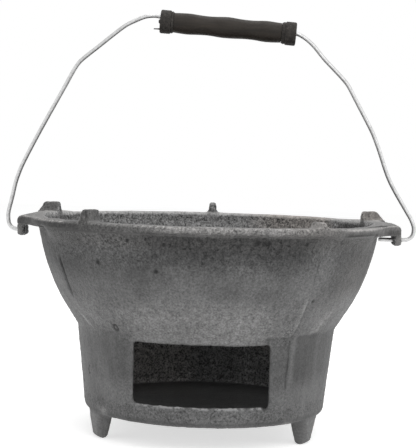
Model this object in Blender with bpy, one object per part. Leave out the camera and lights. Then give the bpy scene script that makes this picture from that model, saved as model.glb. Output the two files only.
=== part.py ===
"""A cast charcoal stove: bowl, ash chamber and feet in one casting, a loose grate, and a wire bail with a grip.

The stove stands on Z = 0 and its bowl is turned about the Z axis. The draught window faces -Y, and the bail
hangs in two ears at -X and +X.
"""

import math

import bmesh
import bpy
from mathutils import Matrix, Vector

# Driving dimensions of the casting, in metres
RIM_TOP = 0.1789
RIM_RADIUS = 0.1485
RIM_UNDERSIDE = 0.1721
RIM_LIP_ROUND = 0.0032
BOWL_TOP_RADIUS = 0.1414
BOWL_TOP_HEIGHT = 0.1704
BOWL_TOP_SLOPE = 0.16
JUNCTION_RADIUS = 0.1075
JUNCTION_HEIGHT = 0.0905
JUNCTION_SLOPE = 0.72
BOWL_HANDLE = 0.028
CHAMBER_FOOT_RADIUS = 0.1003
UNDERSIDE = 0.0210
UNDERSIDE_ROUND = 0.0038
WALL = 0.0052
CHAMBER_WALL = 0.0050
FLOOR_TOP = 0.0247
FLOOR_FILLET = 0.0040
SEAT_RADIUS = 0.0970
SEAT_TOP = 0.0920
SEAT_UNDERSIDE = 0.0885
SIDES = 64

# Draught window
WINDOW_BOTTOM = 0.0370
WINDOW_TOP = 0.0871
WINDOW_CENTRE = -0.0006
WINDOW_TOP_WIDTH = 0.1053
WINDOW_BOTTOM_WIDTH = 0.1055
WINDOW_CORNER = 0.0030
WINDOW_CUT = (-0.130, -0.060)

# Feet: a tripod with one foot behind, as (angle, distance from the axis, swell over the plain size)
FEET = ((90, 0.0922, 1.0), (207, 0.0926, 0.98), (333, 0.0918, 1.04))
FOOT_ROOT_HALF = (0.0089, 0.0111)
FOOT_TIP_HALF = (0.0055, 0.0068)
FOOT_TIP_HEIGHT = 0.0030
FOOT_REACH = 0.0994
FOOT_SQUARENESS = 3.2
FOOT_SIDES = 24
# Levels of a foot from its root to its pad, as (height, growth inwards, outwards and sideways)
FOOT_LEVELS = ((0.0232, 0.0038, 0, 0.0024), (0.0208, 0.0038, 0, 0.0024), (0.0197, 0.0018, 0, 0.0012),
               (0.0185, 0.0005, 0, 0.0004), (0.0172, 0, 0, 0), (FOOT_TIP_HEIGHT, 0, 0, 0),
               (0.0010, -0.0004, -0.0026, -0.0007), (0, -0.0012, -0.0046, -0.0018))

# Pot rests: five fins on the rim, as (angle, height over the rim, half thickness, radii of the inner end, the crest
# and the toe)
RESTS = ((14, 0.0091, 0.0022, 0.1350, 0.1482, 0.1552), (90, 0.0099, 0.0022, 0.1366, 0.1478, 0.1482),
         (164, 0.0099, 0.0022, 0.1358, 0.1509, 0.1561), (231.8, 0.0089, 0.0026, 0.1333, 0.1480, 0.1482),
         (307.4, 0.0040, 0.0025, 0.1345, 0.1478, 0.1482))
REST_FLARE = 0.0034
REST_ROOT = 0.1730
REST_EDGE = 0.0010

# Ears with their turned-down hanging lugs
EAR_TIPS = {-1: 0.1588, 1: 0.1596}
EAR_TIP_HALF = 0.0235
EAR_TIP_ROUND = 0.0070
EAR_ROOT_ANGLE = 24
EAR_SWEEP = 0.0170
EAR_SHOULDER = 0.0050
EAR_ROOT_RADIUS = 0.1470
EAR_TUCK_RADIUS = 0.1392
EAR_TOP = 0.1786
EAR_UNDERSIDES = {-1: 0.1708, 1: 0.1703}
LUG_HALF = 0.0108
LUG_ROUND = 0.0012
LUG_NECKS = {-1: 0.0048, 1: 0.0062}
LUG_NECK_HEIGHT = 0.0084
LUG_THICKNESS = {-1: 0.0060, 1: 0.0062}
LUG_PROUD = 0.0006
LUG_BOTTOM = 0.1608
LUG_FOOT = ((0, 0.0016), (0.0005, 0.0007), (0.0014, 0.0002), (0.0026, 0))   # height over the bottom, inset
LUG_HOLE_RADIUS = 0.0026
PIVOT_HEIGHT = 0.1657

# Loose grate
GRATE_RADIUS = 0.1020
GRATE_THICKNESS = 0.0070
GRATE_EDGE = 0.0012
GRATE_RING = 0.0090
GRATE_PITCH = 0.0150
GRATE_SLOT = 0.0080
GRATE_SPINE = 0.0100
GRATE_SIDES = 48

# Bail wire, bent in the plane Y = 0; its bends are given as the places its centre line passes, in metres
WIRE_RADIUS = 0.0017
WIRE_SIDES = 8
BEND_RADIUS = 0.0070
BEND_LEFT = -0.1617
BEND_RIGHT = 0.1645
WIRE_END_LEFT = -0.1538
WIRE_END_RIGHT = 0.1426
LEFT_BENDS = ((-0.1692, 0.1790), (-0.1661, 0.1930), (-0.1631, 0.2065), (-0.1582, 0.2201), (-0.1448, 0.2472),
              (-0.1231, 0.2879), (-0.1159, 0.3015), (-0.1110, 0.3083), (-0.0946, 0.3220), (-0.0823, 0.3322),
              (-0.0737, 0.3388), (-0.0662, 0.3427), (-0.0579, 0.3462), (-0.0505, 0.3472))
RIGHT_BENDS = ((0.1717, 0.1762), (0.1693, 0.1827), (0.1657, 0.1887), (0.1501, 0.2151), (0.1400, 0.2417),
               (0.1345, 0.2549), (0.1202, 0.2808), (0.1127, 0.2939), (0.1070, 0.3004), (0.0923, 0.3152),
               (0.0836, 0.3253), (0.0762, 0.3316))

# Grip: a waved sleeve between two collars, on an axis that tilts down to the right
GRIP_LEFT = -0.0449
GRIP_RIGHT = 0.0684
GRIP_HEIGHT = 0.33955
GRIP_TILT = -0.0705
SLEEVE_RADIUS = 0.00825
SLEEVE_WAVE = 0.00038
SLEEVE_WAVE_PITCH = 0.0325
SLEEVE_CREST = 0.0115
SLEEVE_BORE = 0.0028
SPIGOT_RADIUS = 0.0062
SPIGOT_LENGTH = 0.0036
COLLAR_RADIUS = 0.0098
COLLAR_NECK_RADIUS = 0.0093
COLLAR_LENGTHS = (0.0112, 0.0122)
COLLAR_NECK = 0.0030
COLLAR_BORE = 0.0060
WIRE_ENTRY_LIFT = 0.0037
WIRE_SETTLE = 0.0088
WIRE_EXIT_LIFT = 0.0006
GRIP_SIDES = 20
GAP = 0.0003


def arc(centre, radius, start, end, steps):
    """Points of a circular arc in degrees, as (across, up) pairs with both ends."""
    points = []
    for step in range(steps + 1):
        angle = math.radians(start + (end - start) * step / steps)
        points.append((centre[0] + radius * math.cos(angle), centre[1] + radius * math.sin(angle)))
    return points


def cubic(start, leave, arrive, end, steps):
    """Points of a cubic curve from start to end, pulled towards leave and arrive."""
    points = []
    for step in range(steps + 1):
        t = step / steps
        weights = ((1 - t) ** 3, 3 * t * (1 - t) ** 2, 3 * t * t * (1 - t), t ** 3)
        corners = (start, leave, arrive, end)
        points.append(tuple(sum(w * c[i] for w, c in zip(weights, corners)) for i in (0, 1)))
    return points


def object_from(bm, name):
    """Turn a bmesh into a linked object whose faces point out."""
    bmesh.ops.recalc_face_normals(bm, faces=bm.faces)
    mesh = bpy.data.meshes.new(name)
    bm.to_mesh(mesh)
    bm.free()
    item = bpy.data.objects.new(name, mesh)
    bpy.context.scene.collection.objects.link(item)
    return item


def bridge(bm, lower, upper):
    """Join two rings of vertices with faces; a ring of one vertex is a pole."""
    count = max(len(lower), len(upper))
    for i in range(count):
        j = (i + 1) % count
        corners = [lower[i % len(lower)], lower[j % len(lower)], upper[j % len(upper)], upper[i % len(upper)]]
        unique = []
        for corner in corners:
            if corner not in unique:
                unique.append(corner)
        bm.faces.new(unique)


def turned(name, profile, sides):
    """Solid turned about Z from (radius, height) points, either pole to pole or a closed ring."""
    bm = bmesh.new()
    rings = []
    for radius, height in profile:
        if radius == 0:
            rings.append([bm.verts.new((0, 0, height))])
            continue
        ring = []
        for side in range(sides):
            angle = 2 * math.pi * side / sides
            ring.append(bm.verts.new((radius * math.cos(angle), radius * math.sin(angle), height)))
        rings.append(ring)
    for lower, upper in zip(rings, rings[1:]):
        bridge(bm, lower, upper)
    if len(rings[0]) > 1:
        bridge(bm, rings[-1], rings[0])
    return object_from(bm, name)


def stacked(name, rings):
    """Solid through a stack of closed outlines of equal length, with flat ends."""
    bm = bmesh.new()
    rows = [[bm.verts.new(point) for point in ring] for ring in rings]
    for lower, upper in zip(rows, rows[1:]):
        bridge(bm, lower, upper)
    bm.faces.new(rows[0])
    bm.faces.new(rows[-1])
    return object_from(bm, name)


def combine(target, tool, operation):
    """Join, cut or intersect target with tool, keep the result in target and remove the tool."""
    modifier = target.modifiers.new(operation, "BOOLEAN")
    modifier.operation = operation
    modifier.solver = "EXACT"
    modifier.object = tool
    graph = bpy.context.evaluated_depsgraph_get()
    result = bpy.data.meshes.new_from_object(target.evaluated_get(graph))
    target.modifiers.clear()
    target.data = result
    bpy.data.objects.remove(tool)


def finish(item, colour, roughness, metallic):
    """Give a piece its own material and smooth shading with kept edges."""
    material = bpy.data.materials.new(item.name)
    material.use_nodes = True
    shader = material.node_tree.nodes["Principled BSDF"]
    shader.inputs["Base Color"].default_value = (*colour, 1)
    shader.inputs["Roughness"].default_value = roughness
    shader.inputs["Metallic"].default_value = metallic
    item.data.materials.clear()
    item.data.materials.append(material)
    item.data.shade_smooth()
    item.data.set_sharp_from_angle(angle=math.radians(35))


def bowl_curve(steps=10):
    """Outer wall of the bowl, from its junction with the ash chamber up to the rim."""
    leave = (JUNCTION_RADIUS + JUNCTION_SLOPE * BOWL_HANDLE, JUNCTION_HEIGHT + BOWL_HANDLE)
    arrive = (BOWL_TOP_RADIUS - BOWL_TOP_SLOPE * BOWL_HANDLE, BOWL_TOP_HEIGHT - BOWL_HANDLE)
    return cubic((JUNCTION_RADIUS, JUNCTION_HEIGHT), leave, arrive, (BOWL_TOP_RADIUS, BOWL_TOP_HEIGHT), steps)


def bowl_radius(height):
    """Outer radius of the bowl's wall at a height."""
    curve = bowl_curve()
    for (low_radius, low), (high_radius, high) in zip(curve, curve[1:]):
        if low <= height <= high:
            return low_radius + (high_radius - low_radius) * (height - low) / (high - low)
    return BOWL_TOP_RADIUS


def chamber_radius(height):
    """Outer radius of the tapering ash chamber at a height."""
    share = (height - UNDERSIDE) / (JUNCTION_HEIGHT - UNDERSIDE)
    return CHAMBER_FOOT_RADIUS + (JUNCTION_RADIUS - CHAMBER_FOOT_RADIUS) * share


def shell_profile():
    """Half section of the casting: under the floor, up the outside, over the rim and down the inside."""
    corner = (CHAMBER_FOOT_RADIUS - UNDERSIDE_ROUND, UNDERSIDE + UNDERSIDE_ROUND)
    outside = [(0, UNDERSIDE)] + arc(corner, UNDERSIDE_ROUND, -90, 0, 3)
    outside += bowl_curve()
    lip = RIM_LIP_ROUND
    under_rim = BOWL_TOP_RADIUS + BOWL_TOP_SLOPE * (RIM_UNDERSIDE - BOWL_TOP_HEIGHT)
    rim = [(under_rim, RIM_UNDERSIDE), (RIM_RADIUS - lip / 2, RIM_UNDERSIDE)]
    rim += arc((RIM_RADIUS - lip, RIM_TOP - lip), lip, -30, 90, 5)
    inner_top = BOWL_TOP_RADIUS - WALL
    rim += arc((inner_top + lip / 2, RIM_TOP - lip / 2), lip / 2, 90, 180, 2)
    inside = [(radius - WALL, height) for radius, height in reversed(bowl_curve()) if height > SEAT_TOP + GAP]
    seat_bevel = chamber_radius(SEAT_UNDERSIDE) - CHAMBER_WALL - SEAT_RADIUS
    seat = [(bowl_radius(SEAT_TOP) - WALL, SEAT_TOP), (SEAT_RADIUS, SEAT_TOP), (SEAT_RADIUS, SEAT_UNDERSIDE),
            (SEAT_RADIUS + seat_bevel, SEAT_UNDERSIDE - seat_bevel)]
    fillet = (chamber_radius(FLOOR_TOP) - CHAMBER_WALL - FLOOR_FILLET, FLOOR_TOP + FLOOR_FILLET)
    floor = arc(fillet, FLOOR_FILLET, 0, -90, 3) + [(0, FLOOR_TOP)]
    return outside + rim + inside + seat + floor


def rounded_outline(corners, radius, steps=3):
    """Closed outline through straight-sided corners, each rounded by the same radius."""
    outline = []
    count = len(corners)
    for i, corner in enumerate(corners):
        here = Vector(corner)
        before = (Vector(corners[i - 1]) - here).normalized()
        after = (Vector(corners[(i + 1) % count]) - here).normalized()
        half_angle = before.angle(after) / 2
        centre = here + (before + after).normalized() * radius / math.sin(half_angle)
        first = here + before * radius / math.tan(half_angle) - centre
        last = here + after * radius / math.tan(half_angle) - centre
        for step in range(steps + 1):
            turn = first.slerp(last, step / steps)
            outline.append(tuple(centre + turn.normalized() * radius))
    return outline


def foot_ring(place, swell, level):
    """Rounded-square section of a foot at a level, its outer side no further out than the chamber's wall."""
    height, inwards, outwards, sideways = level
    share = (height - FOOT_TIP_HEIGHT) / (UNDERSIDE - FOOT_TIP_HEIGHT)
    half_depth, half_width = [swell * (tip + (root - tip) * share) for tip, root in zip(FOOT_TIP_HALF, FOOT_ROOT_HALF)]
    ring = []
    for side in range(FOOT_SIDES):
        way = 2 * math.pi * side / FOOT_SIDES
        across = math.cos(way)
        along = math.sin(way)
        corner = (abs(across) ** FOOT_SQUARENESS + abs(along) ** FOOT_SQUARENESS) ** (-1 / FOOT_SQUARENESS)
        depth = half_depth + (outwards if across > 0 else inwards)
        point = Vector((place + depth * corner * across, (half_width + sideways) * corner * along, 0))
        if point.length > FOOT_REACH:
            point *= FOOT_REACH / point.length
        ring.append(point + Vector((0, 0, height)))
    return ring


def add_feet(body):
    """Stand the chamber on three tapered feet that are cast with it and flare into its floor."""
    for angle, place, swell in FEET:
        turn = Matrix.Rotation(math.radians(angle), 3, "Z")
        rings = [[turn @ point for point in foot_ring(place, swell, level)] for level in FOOT_LEVELS]
        combine(body, stacked("foot", rings), "UNION")


def add_pot_rests(body):
    """Stand five flared fins on the rim, to hold a pot clear of the coals."""
    bowl_side = BOWL_TOP_RADIUS - WALL + GAP
    for angle, height, top_half, inner, crest, toe in RESTS:
        turn = Matrix.Rotation(math.radians(angle), 3, "Z")
        slices = [(REST_ROOT, max(inner, bowl_side), min(toe, RIM_RADIUS - GAP), top_half + REST_FLARE)]
        for share in (0, 0.15, 0.35, 0.6, 0.85, 1):
            inset = REST_EDGE if share == 1 else 0
            outer = toe + (crest - toe) * share
            half = top_half + REST_FLARE * (1 - share) ** 3
            slices.append((RIM_TOP + height * share, inner + inset, outer - inset, half - inset / 2))
        rings = []
        for level, near, far, half in slices:
            corners = [(near, -half), (far, -half), (far, half), (near, half)]
            rings.append([turn @ Vector((across, along, level)) for across, along in corners])
        combine(body, stacked("pot rest", rings), "UNION")


def ear_plan(tip):
    """Plan outline of an ear that points to +X, from its tuck in the bowl's wall to its rounded tip."""
    root = math.radians(EAR_ROOT_ANGLE)
    root_point = (EAR_ROOT_RADIUS * math.cos(root), EAR_ROOT_RADIUS * math.sin(root))
    leave = (root_point[0] + EAR_SWEEP * math.sin(root), root_point[1] - EAR_SWEEP * math.cos(root))
    half = arc((tip - EAR_TIP_ROUND, EAR_TIP_HALF - EAR_TIP_ROUND), EAR_TIP_ROUND, 0, 75, 4)
    arrive = (half[-1][0] - EAR_SWEEP / 2, EAR_TIP_HALF + EAR_SWEEP / 5)
    half += cubic(half[-1], arrive, leave, root_point, 5)[1:]
    half += arc((0, 0), EAR_TUCK_RADIUS, EAR_ROOT_ANGLE, 0, 5)[:-1]
    return [(x, -y) for x, y in reversed(half)] + half


def lug_ring(tip, level, thickness, inset):
    """Rounded outline of a hanging lug at a level, drawn in by an inset."""
    inner = tip + LUG_PROUD - thickness + inset
    outer = tip + LUG_PROUD - inset
    half = LUG_HALF - inset
    corners = [(inner, -half), (outer, -half), (outer, half), (inner, half)]
    return [(x, y, level) for x, y in rounded_outline(corners, LUG_ROUND)]


def ear(side):
    """One ear: a flat wing of the rim whose end turns down into a lug with the bail's hole."""
    tip = EAR_TIPS[side]
    underside = EAR_UNDERSIDES[side]
    thickness = LUG_THICKNESS[side]
    neck_thickness = LUG_NECKS[side]
    margin = 0.01
    plan = ear_plan(tip)
    wing = stacked("wing", [[(x, y, z) for x, y in plan] for z in (underside - margin, RIM_TOP + margin)])
    reach = EAR_TUCK_RADIUS * math.cos(math.radians(EAR_ROOT_ANGLE)) - margin
    section = [(reach, underside), (tip, underside)]
    section += arc((tip - EAR_SHOULDER, EAR_TOP - EAR_SHOULDER), EAR_SHOULDER, 0, 90, 4)
    section.append((reach, EAR_TOP))
    blank = stacked("ear", [[(x, y, z) for x, z in section] for y in (-EAR_ROOT_RADIUS, EAR_ROOT_RADIUS)])
    combine(blank, wing, "INTERSECT")
    lug_top = (underside + EAR_TOP) / 2
    neck = LUG_BOTTOM + LUG_NECK_HEIGHT
    rings = [lug_ring(tip, LUG_BOTTOM + rise, thickness, inset) for rise, inset in LUG_FOOT]
    rings.append(lug_ring(tip, neck - LUG_ROUND / 2, thickness, 0))
    rings.append(lug_ring(tip, neck + LUG_ROUND / 2, neck_thickness, 0))
    rings.append(lug_ring(tip, lug_top - LUG_ROUND, neck_thickness, 0))
    rings.append(lug_ring(tip, lug_top, neck_thickness, LUG_ROUND))
    combine(blank, stacked("lug", rings), "UNION")
    hole = turned("hole", [(0, -margin), (LUG_HOLE_RADIUS, -margin), (LUG_HOLE_RADIUS, margin), (0, margin)], 20)
    hole.data.transform(Matrix.Translation((tip, 0, PIVOT_HEIGHT)) @ Matrix.Rotation(math.pi / 2, 4, "Y"))
    combine(blank, hole, "DIFFERENCE")
    if side < 0:
        blank.data.transform(Matrix.Rotation(math.pi, 4, "Z"))
    return blank


def window_cutter():
    """Prism that cuts the draught window through the front wall of the ash chamber."""
    corners = [(-WINDOW_BOTTOM_WIDTH / 2, WINDOW_BOTTOM), (WINDOW_BOTTOM_WIDTH / 2, WINDOW_BOTTOM),
               (WINDOW_TOP_WIDTH / 2, WINDOW_TOP), (-WINDOW_TOP_WIDTH / 2, WINDOW_TOP)]
    outline = rounded_outline(corners, WINDOW_CORNER)
    return stacked("window", [[(x + WINDOW_CENTRE, y, z) for x, z in outline] for y in WINDOW_CUT])


def make_stove_body():
    """The one-piece casting."""
    body = turned("stove_body", shell_profile(), SIDES)
    for side in (-1, 1):
        combine(body, ear(side), "UNION")
    add_pot_rests(body)
    add_feet(body)
    combine(body, window_cutter(), "DIFFERENCE")
    finish(body, (0.150, 0.147, 0.145), 0.62, 0.75)


def make_charcoal_grate():
    """The loose grate: a disc with rows of slots on both sides of a spine."""
    bottom = SEAT_TOP + GAP
    top = bottom + GRATE_THICKNESS
    profile = [(0, bottom), (GRATE_RADIUS - GRATE_EDGE, bottom), (GRATE_RADIUS, bottom + GRATE_EDGE),
               (GRATE_RADIUS, top - GRATE_EDGE), (GRATE_RADIUS - GRATE_EDGE, top), (0, top)]
    grate = turned("charcoal_grate", profile, GRATE_SIDES)
    rows = int((GRATE_RADIUS - GRATE_RING) / GRATE_PITCH)
    cutters = bmesh.new()
    for row in range(-rows, rows):
        across = (row + 0.5) * GRATE_PITCH
        far = math.sqrt((GRATE_RADIUS - GRATE_RING) ** 2 - (abs(across) + GRATE_SLOT / 2) ** 2)
        radius = GRATE_SLOT / 2
        for side in (-1, 1):
            near_end = arc((GRATE_SPINE / 2 + radius, across), radius, 90, 270, 4)
            outline = near_end + arc((far - radius, across), radius, -90, 90, 4)
            rings = []
            for height in (bottom - 0.01, top + 0.01):
                rings.append([cutters.verts.new((side * x, y, height)) for x, y in outline])
            bridge(cutters, rings[0], rings[1])
            for ring in rings:
                cutters.faces.new(ring)
    combine(grate, object_from(cutters, "slots"), "DIFFERENCE")
    finish(grate, (0.045, 0.042, 0.040), 0.80, 0.60)


def smooth_route(points, steps):
    """Points along a smooth curve that passes through every given point."""
    route = []
    places = [Vector(point) for point in points]
    places = [2 * places[0] - places[1]] + places + [2 * places[-1] - places[-2]]
    for a, b, c, d in zip(places, places[1:], places[2:], places[3:]):
        count = max(1, min(steps, round((c - b).length / (4 * WIRE_RADIUS))))
        for step in range(count):
            t = step / count
            pull_in = (c - a) * min(1, (c - b).length / max((b - a).length, (c - b).length)) / 2
            pull_out = (d - b) * min(1, (c - b).length / max((d - c).length, (c - b).length)) / 2
            route.append((2 * t ** 3 - 3 * t * t + 1) * b + (t ** 3 - 2 * t * t + t) * pull_in
                         + (3 * t * t - 2 * t ** 3) * c + (t ** 3 - t * t) * pull_out)
    route.append(places[-2])
    return route


def grip_point(along):
    """Point of the grip's axis over the place `along` on X."""
    return (along, GRIP_HEIGHT + GRIP_TILT * along)


def wire_route():
    """Centre line of the whole bail, from the end in the left lug to the end in the right lug."""
    bend_left = arc((BEND_LEFT, PIVOT_HEIGHT + BEND_RADIUS), BEND_RADIUS, 270, 195, 4)
    bend_right = arc((BEND_RIGHT, PIVOT_HEIGHT + BEND_RADIUS), BEND_RADIUS, 350, 270, 4)
    start = [(WIRE_END_LEFT, PIVOT_HEIGHT)]
    grip = [(GRIP_LEFT, grip_point(GRIP_LEFT)[1] + WIRE_ENTRY_LIFT), grip_point(GRIP_LEFT + WIRE_SETTLE)]
    grip += [grip_point((GRIP_LEFT + GRIP_RIGHT) / 2), grip_point(GRIP_RIGHT - WIRE_SETTLE)]
    grip.append((GRIP_RIGHT, grip_point(GRIP_RIGHT)[1] + WIRE_EXIT_LIFT))
    end = [(WIRE_END_RIGHT, PIVOT_HEIGHT)]
    return start + bend_left + list(LEFT_BENDS) + grip + list(reversed(RIGHT_BENDS)) + bend_right + end


def make_bail_wire():
    """The carrying wire, one round rod bent in a plane, with its ends through the lugs."""
    route = smooth_route(wire_route(), 6)
    curve = bpy.data.curves.new("bail_wire", "CURVE")
    curve.dimensions = "3D"
    curve.bevel_depth = WIRE_RADIUS
    curve.bevel_resolution = WIRE_SIDES // 2 - 2
    curve.use_fill_caps = True
    spline = curve.splines.new("POLY")
    spline.points.add(len(route) - 1)
    for point, place in zip(spline.points, route):
        point.co = (place[0], 0, place[1] - PIVOT_HEIGHT, 1)
    bail = bpy.data.objects.new("bail_wire", curve)
    bpy.context.scene.collection.objects.link(bail)
    bail.location = (0, 0, PIVOT_HEIGHT)
    material = bpy.data.materials.new("bail_wire")
    material.use_nodes = True
    shader = material.node_tree.nodes["Principled BSDF"]
    shader.inputs["Base Color"].default_value = (0.55, 0.55, 0.54, 1)
    shader.inputs["Roughness"].default_value = 0.32
    shader.inputs["Metallic"].default_value = 1
    curve.materials.append(material)
    return bail


def sleeve_radius(along):
    """Outer radius of the waved sleeve at a place along X."""
    return SLEEVE_RADIUS + SLEEVE_WAVE * math.cos(2 * math.pi * (along - SLEEVE_CREST) / SLEEVE_WAVE_PITCH)


def place_on_grip(item, along, parent):
    """Set a piece that is turned about its own Z on the grip's axis, with its Z towards +X."""
    point = grip_point(along)
    item.parent = parent
    item.location = Vector((point[0], 0, point[1])) - parent.location
    item.rotation_euler = (0, math.pi / 2 - math.atan(GRIP_TILT), 0)


def make_grip_sleeve(bail):
    """The sleeve, waved for the fingers, with a spigot at each end that its collar sits on."""
    start = GRIP_LEFT + COLLAR_LENGTHS[0] + GAP
    end = GRIP_RIGHT - COLLAR_LENGTHS[1] - GAP
    steps = 16
    outer = []
    for step in range(steps + 1):
        along = start + (end - start) * step / steps
        outer.append((sleeve_radius(along), along))
    profile = [(SLEEVE_BORE, start - SPIGOT_LENGTH), (SPIGOT_RADIUS, start - SPIGOT_LENGTH), (SPIGOT_RADIUS, start)]
    profile += outer
    profile += [(SPIGOT_RADIUS, end), (SPIGOT_RADIUS, end + SPIGOT_LENGTH), (SLEEVE_BORE, end + SPIGOT_LENGTH)]
    stretch = math.sqrt(1 + GRIP_TILT ** 2)
    sleeve = turned("grip_sleeve", [(radius, along * stretch) for radius, along in profile], GRIP_SIDES)
    place_on_grip(sleeve, 0, bail)
    finish(sleeve, (0.030, 0.025, 0.022), 0.48, 0.0)


def make_grip_collar(name, end, length, side, bail):
    """An end ring: a wide band, a slightly smaller neck next to the sleeve, and a pocket for its spigot."""
    pocket = length - SPIGOT_LENGTH - 2 * GAP
    edge = 0.0009
    profile = [(COLLAR_BORE, 0), (COLLAR_RADIUS - edge, 0), (COLLAR_RADIUS, edge),
               (COLLAR_RADIUS, length - COLLAR_NECK - edge / 2), (COLLAR_NECK_RADIUS, length - COLLAR_NECK),
               (COLLAR_NECK_RADIUS, length - edge), (COLLAR_NECK_RADIUS - edge, length),
               (SPIGOT_RADIUS + GAP, length), (SPIGOT_RADIUS + GAP, pocket), (COLLAR_BORE, pocket)]
    stretch = math.sqrt(1 + GRIP_TILT ** 2)
    collar = turned(name, [(radius, side * along * stretch) for radius, along in profile], GRIP_SIDES)
    place_on_grip(collar, end, bail)
    finish(collar, (0.045, 0.042, 0.040), 0.66, 0.0)


for leftover in list(bpy.data.objects):
    bpy.data.objects.remove(leftover)

make_stove_body()
make_charcoal_grate()
bail_wire = make_bail_wire()
make_grip_sleeve(bail_wire)
make_grip_collar("grip_collar_left", GRIP_LEFT, COLLAR_LENGTHS[0], 1, bail_wire)
make_grip_collar("grip_collar_right", GRIP_RIGHT, COLLAR_LENGTHS[1], -1, bail_wire)
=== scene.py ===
import math

import bmesh
import bpy
import numpy as np
from mathutils import Matrix, Vector, noise


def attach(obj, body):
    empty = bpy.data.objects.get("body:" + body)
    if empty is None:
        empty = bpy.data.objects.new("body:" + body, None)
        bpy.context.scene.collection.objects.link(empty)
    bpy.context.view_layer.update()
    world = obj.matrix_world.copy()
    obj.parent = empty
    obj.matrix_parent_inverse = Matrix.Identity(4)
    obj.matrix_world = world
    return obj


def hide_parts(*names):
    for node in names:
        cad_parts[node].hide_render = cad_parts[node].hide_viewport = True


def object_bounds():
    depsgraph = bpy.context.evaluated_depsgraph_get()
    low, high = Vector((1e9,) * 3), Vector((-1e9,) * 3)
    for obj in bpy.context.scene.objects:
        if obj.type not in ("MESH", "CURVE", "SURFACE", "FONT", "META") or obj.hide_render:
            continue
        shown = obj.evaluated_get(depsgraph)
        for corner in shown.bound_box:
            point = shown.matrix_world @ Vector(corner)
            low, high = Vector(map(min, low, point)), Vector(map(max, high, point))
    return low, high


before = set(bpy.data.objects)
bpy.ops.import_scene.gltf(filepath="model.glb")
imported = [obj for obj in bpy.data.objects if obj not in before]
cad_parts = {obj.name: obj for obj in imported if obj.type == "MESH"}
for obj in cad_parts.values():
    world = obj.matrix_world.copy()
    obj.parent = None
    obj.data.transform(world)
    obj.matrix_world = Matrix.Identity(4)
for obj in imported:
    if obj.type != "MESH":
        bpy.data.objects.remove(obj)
cad_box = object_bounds()

# The stove is one sand casting: bowl, rim, ears, pot rests, ash chamber and feet. Its skin is the print of
# the moulding sand, grainy and pitted, with a seam line where each half of the mould met the next. It stands
# on its own feet and carries everything else.

SKIN_NET = 0.0012
EDGE_EASING = 3


def even_copy(node_name, name, net, easing):
    """Copy of a solid in an even net of small faces, its sharp edges eased as moulding sand leaves them."""
    piece = bpy.data.objects.new(name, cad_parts[node_name].data.copy())
    bpy.context.scene.collection.objects.link(piece)
    piece.data.materials.clear()
    weave = piece.modifiers.new("even net", "REMESH")
    weave.mode = "VOXEL"
    weave.voxel_size = net
    ease = piece.modifiers.new("eased edges", "SMOOTH")
    ease.factor = 0.5
    ease.iterations = easing
    graph = bpy.context.evaluated_depsgraph_get()
    piece.data = bpy.data.meshes.new_from_object(piece.evaluated_get(graph))
    piece.modifiers.clear()
    piece.data.shade_smooth()
    return piece


def points_and_normals(piece):
    """The places and outward directions of a piece's points, as two tables."""
    count = len(piece.data.vertices)
    points = np.empty(count * 3)
    normals = np.empty(count * 3)
    piece.data.vertices.foreach_get("co", points)
    piece.data.vertex_normals.foreach_get("vector", normals)
    return points.reshape(-1, 3), normals.reshape(-1, 3)


def rough(points, size, seed):
    """Smooth unevenness from -1 to 1 over the points, with swells of the given size."""
    shift = Vector((seed * 7.3, seed * 3.1, seed * 5.7))
    return np.array([noise.noise(Vector(point) / size + shift) for point in points])


def fade(value, start, end):
    """0 before start, 1 past end and smooth between them."""
    share = np.clip((value - start) / (end - start), 0, 1)
    return share * share * (3 - 2 * share)


def within(value, start, full, waning, end):
    """1 between full and waning, and down to 0 before start and past end."""
    return fade(value, start, full) * (1 - fade(value, waning, end))


def spot(away, size):
    """Soft round swell, 1 in its middle."""
    return np.exp(-(away / size) ** 2)


def layered(layers):
    """Sum of masks, each with its own strength."""
    return sum(strength * mask for strength, mask in layers)


def set_points(piece, points):
    """Move a piece's points, kept inside the box of the whole object."""
    held = np.clip(points, np.array(cad_box[0]), np.array(cad_box[1]))
    piece.data.vertices.foreach_set("co", held.ravel())
    piece.data.update()


def ease_points(piece, chosen, rounds):
    """Blend one surface into the next by smoothing only the chosen points."""
    skin = bmesh.new()
    skin.from_mesh(piece.data)
    skin.verts.ensure_lookup_table()
    soft = [skin.verts[index] for index in np.nonzero(chosen)[0]]
    for _ in range(rounds):
        bmesh.ops.smooth_vert(skin, verts=soft, factor=0.5, use_axis_x=True, use_axis_y=True, use_axis_z=True)
    skin.to_mesh(piece.data)
    skin.free()


def paint_mask(piece, name, values):
    """Store one number for each point of a piece, for its material to read."""
    layer = piece.data.attributes.new(name, "FLOAT", "POINT")
    layer.data.foreach_set("value", np.clip(values, 0, 2))


def put(tree, kind, sockets=None, **options):
    """Add a shader node; a socket is given a value or another node's output."""
    item = tree.nodes.new("ShaderNode" + kind)
    for option, value in options.items():
        setattr(item, option, value)
    for socket, value in (sockets or {}).items():
        if isinstance(value, bpy.types.NodeSocket):
            tree.links.new(value, item.inputs[socket])
        else:
            item.inputs[socket].default_value = value
    return item


def new_material(name):
    """Material with its node tree and its shader."""
    material = bpy.data.materials.new(name)
    material.use_nodes = True
    return material, material.node_tree, material.node_tree.nodes["Principled BSDF"]


def blend_colours(tree, share, first, second, way="MIX"):
    """Mix two colours by a share."""
    mix = put(tree, "Mix", {0: share, 6: first, 7: second}, data_type="RGBA", blend_type=way)
    return mix.outputs[2]


def spread(tree, value, low, high, to_low=0.0, to_high=1.0):
    """Stretch a value's range low..high to another range."""
    sockets = {"Value": value, "From Min": low, "From Max": high, "To Min": to_low, "To Max": to_high}
    return put(tree, "MapRange", sockets).outputs["Result"]


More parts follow.
